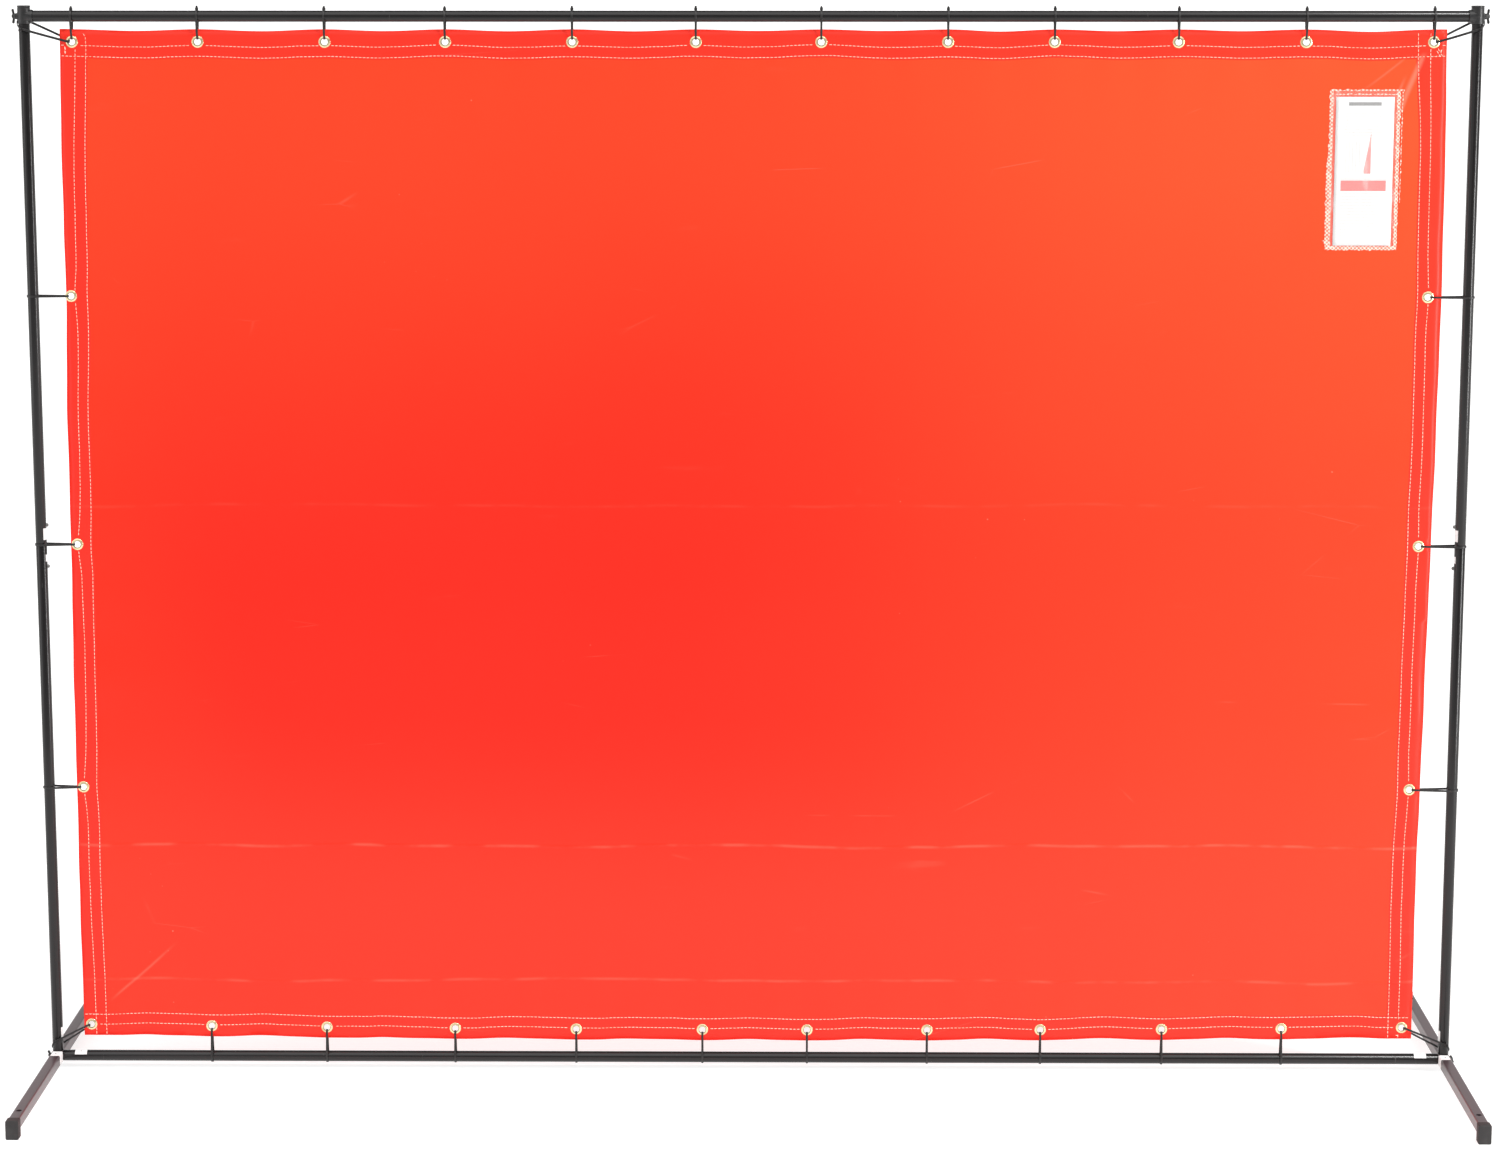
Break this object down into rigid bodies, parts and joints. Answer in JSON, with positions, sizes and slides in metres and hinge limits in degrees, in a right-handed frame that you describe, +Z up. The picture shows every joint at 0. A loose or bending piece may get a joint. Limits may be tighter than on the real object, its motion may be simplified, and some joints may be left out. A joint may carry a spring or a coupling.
{
  "type": "welding curtain screen",
  "caption": "Free-standing welding screen: a knock-down tube frame on two feet with a translucent vinyl curtain tied in at its grommets.",
  "frame": {"origin": "on the floor, under the middle of the frame (bottom centre of the bounding box)", "axes": "+Z up, +X along the rails to the right seen from the front, +Y from the front to the back; the document pouch is on the -Y side"},
  "size_m": [2.4808, 0.804, 1.8549],
  "materials": {
    "frame_paint": "gloss black enamel on steel tube",
    "foot_paint": "gloss black enamel on steel tube, a little dusty",
    "foot_cap_rubber": "matte moulded rubber",
    "corner_plastic": "moulded black plastic, satin",
    "bolt_black": "black wing over steel thread",
    "button_steel": "bright zinc plate",
    "connector_zinc": "bright zinc plate",
    "curtain_vinyl": "glossy translucent vinyl sheet, soft creases",
    "pouch_vinyl": "clear vinyl",
    "card_paper": null,
    "tie_nylon": "black nylon"
  },
  "bodies": {
    "screen": {"foot_left": "foot_paint", "foot_cap_left_front": "foot_cap_rubber", "foot_cap_left_rear": "foot_cap_rubber", "post_left_lower": "frame_paint", "post_left_upper": "frame_paint", "post_connector_left": "connector_zinc", "top_fitting_left": "corner_plastic", "foot_right": "foot_paint", "foot_cap_right_front": "foot_cap_rubber", "foot_cap_right_rear": "foot_cap_rubber", "post_right_lower": "frame_paint", "post_right_upper": "frame_paint", "post_connector_right": "connector_zinc", "top_fitting_right": "corner_plastic", "top_rail": "frame_paint", "bottom_rail": "frame_paint", "curtain": "curtain_vinyl", "document_pouch": "pouch_vinyl", "document_card": "card_paper", "tie_top_1": "tie_nylon", "tie_top_2": "tie_nylon", "tie_top_3": "tie_nylon", "tie_top_4": "tie_nylon", "tie_top_5": "tie_nylon", "tie_top_6": "tie_nylon", "tie_top_7": "tie_nylon", "tie_top_8": "tie_nylon", "tie_top_9": "tie_nylon", "tie_top_10": "tie_nylon", "tie_top_11": "tie_nylon", "tie_top_12": "tie_nylon", "tie_bottom_1": "tie_nylon", "tie_bottom_2": "tie_nylon", "tie_bottom_3": "tie_nylon", "tie_bottom_4": "tie_nylon", "tie_bottom_5": "tie_nylon", "tie_bottom_6": "tie_nylon", "tie_bottom_7": "tie_nylon", "tie_bottom_8": "tie_nylon", "tie_bottom_9": "tie_nylon", "tie_bottom_10": "tie_nylon", "tie_left_1": "tie_nylon", "tie_left_2": "tie_nylon", "tie_left_3": "tie_nylon", "tie_corner_left_top": "tie_nylon", "tie_corner_left_bottom": "tie_nylon", "tie_right_1": "tie_nylon", "tie_right_2": "tie_nylon", "tie_right_3": "tie_nylon", "tie_corner_right_top": "tie_nylon", "tie_corner_right_bottom": "tie_nylon"},
    "wing_bolt_left_top": {"wing_bolt_left_top": "bolt_black"},
    "wing_bolt_left_bottom": {"wing_bolt_left_bottom": "bolt_black"},
    "wing_bolt_right_top": {"wing_bolt_right_top": "bolt_black"},
    "wing_bolt_right_bottom": {"wing_bolt_right_bottom": "bolt_black"},
    "snap_button_left_lower": {"snap_button_left_lower": "button_steel"},
    "snap_button_left_upper": {"snap_button_left_upper": "button_steel"},
    "snap_button_right_lower": {"snap_button_right_lower": "button_steel"},
    "snap_button_right_upper": {"snap_button_right_upper": "button_steel"}
  },
  "joints": [
    {"name": "wing_bolt_left_top_turn", "type": "hinge", "parent": "screen", "child": "wing_bolt_left_top", "pos_m": [-1.22, 0, 1.83603], "axis": [1, 0, 0], "continuous": true},
    {"name": "wing_bolt_left_bottom_turn", "type": "hinge", "parent": "screen", "child": "wing_bolt_left_bottom", "pos_m": [-1.22, 0, 0.02202], "axis": [1, 0, 0], "continuous": true},
    {"name": "snap_button_left_lower_press", "type": "slide", "parent": "screen", "child": "snap_button_left_lower", "axis": [-1, 0, 0], "range_m": [0, 0.004], "stiffness_N_per_m": 900, "springref_m": -0.0015},
    {"name": "snap_button_left_upper_press", "type": "slide", "parent": "screen", "child": "snap_button_left_upper", "axis": [-1, 0, 0], "range_m": [0, 0.004], "stiffness_N_per_m": 900, "springref_m": -0.0015},
    {"name": "wing_bolt_right_top_turn", "type": "hinge", "parent": "screen", "child": "wing_bolt_right_top", "pos_m": [1.22, 0, 1.83603], "axis": [1, 0, 0], "continuous": true},
    {"name": "wing_bolt_right_bottom_turn", "type": "hinge", "parent": "screen", "child": "wing_bolt_right_bottom", "pos_m": [1.22, 0, 0.02202], "axis": [1, 0, 0], "continuous": true},
    {"name": "snap_button_right_lower_press", "type": "slide", "parent": "screen", "child": "snap_button_right_lower", "axis": [1, 0, 0], "range_m": [0, 0.004], "stiffness_N_per_m": 900, "springref_m": -0.0015},
    {"name": "snap_button_right_upper_press", "type": "slide", "parent": "screen", "child": "snap_button_right_upper", "axis": [1, 0, 0], "range_m": [0, 0.004], "stiffness_N_per_m": 900, "springref_m": -0.0015}
  ]
}
